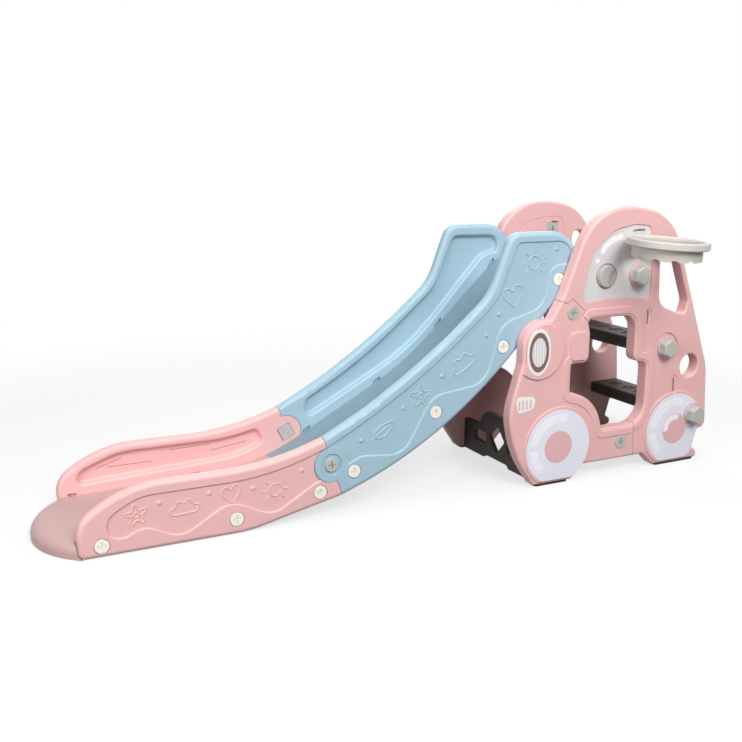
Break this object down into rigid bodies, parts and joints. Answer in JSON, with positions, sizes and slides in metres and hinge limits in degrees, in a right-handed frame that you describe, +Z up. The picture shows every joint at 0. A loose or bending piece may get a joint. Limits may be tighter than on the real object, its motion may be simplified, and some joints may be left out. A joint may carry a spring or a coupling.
{
  "type": "toddler slide",
  "caption": "Toddler slide with a curved chute between moulded walls, car-shaped side panels with steps between them, a platform, twist locks and a pull-off ball hoop.",
  "frame": {"origin": "centre of the object's box in plan, at floor level", "axes": "+X from the chute's foot to the steps, +Y from the hoop's side to the other side, +Z up"},
  "size_m": [1.8851, 0.671, 0.7485],
  "materials": {
    "pink_moulding": "satin",
    "blue_moulding": "satin",
    "dark_moulding": "matte",
    "hoop_plastic": "satin",
    "grey_fastener": "satin",
    "cream_cap": "satin",
    "bush_plastic": "matte",
    "pad_rubber": "matte"
  },
  "bodies": {
    "frame": {"lower_bed": "pink_moulding", "right_lower_wall": "pink_moulding", "left_lower_wall": "pink_moulding", "right_front_panel": "pink_moulding", "left_front_panel": "pink_moulding", "right_rear_panel": "pink_moulding", "left_rear_panel": "pink_moulding", "upper_bed": "blue_moulding", "right_upper_wall": "blue_moulding", "left_upper_wall": "blue_moulding", "lower_step": "dark_moulding", "upper_step": "dark_moulding", "top_platform": "dark_moulding", "front_brace": "dark_moulding", "slot_plug": "hoop_plastic", "lap_bolts": "grey_fastener", "lap_nuts": "grey_fastener", "panel_screws": "grey_fastener", "panel_nuts": "grey_fastener", "right_hand_bolts": "grey_fastener", "left_hand_bolts": "grey_fastener", "right_wall_screws": "cream_cap", "left_wall_screws": "cream_cap", "step_bushes": "bush_plastic", "right_bed_bushes": "bush_plastic", "left_bed_bushes": "bush_plastic", "right_front_pad": "pad_rubber", "left_front_pad": "pad_rubber", "right_rear_pad": "pad_rubber", "left_rear_pad": "pad_rubber"},
    "hoop": {"hoop_ring": "hoop_plastic", "hoop_skirt": "hoop_plastic"},
    "left_lock": {"left_twist_lock": "grey_fastener"},
    "right_lock": {"right_twist_lock": "grey_fastener"}
  },
  "joints": [
    {"name": "hoop_pull", "type": "slide", "parent": "frame", "child": "hoop", "axis": [0, -1, 0], "range_m": [0, 0.04]},
    {"name": "left_lock_turn", "type": "hinge", "parent": "frame", "child": "left_lock", "pos_m": [0.5394, -0.11349, 0.565], "axis": [0, 1, 0], "range_deg": [0, 90]},
    {"name": "right_lock_turn", "type": "hinge", "parent": "frame", "child": "right_lock", "pos_m": [0.5394, 0.29651, 0.565], "axis": [0, 1, 0], "range_deg": [0, 90]}
  ]
}
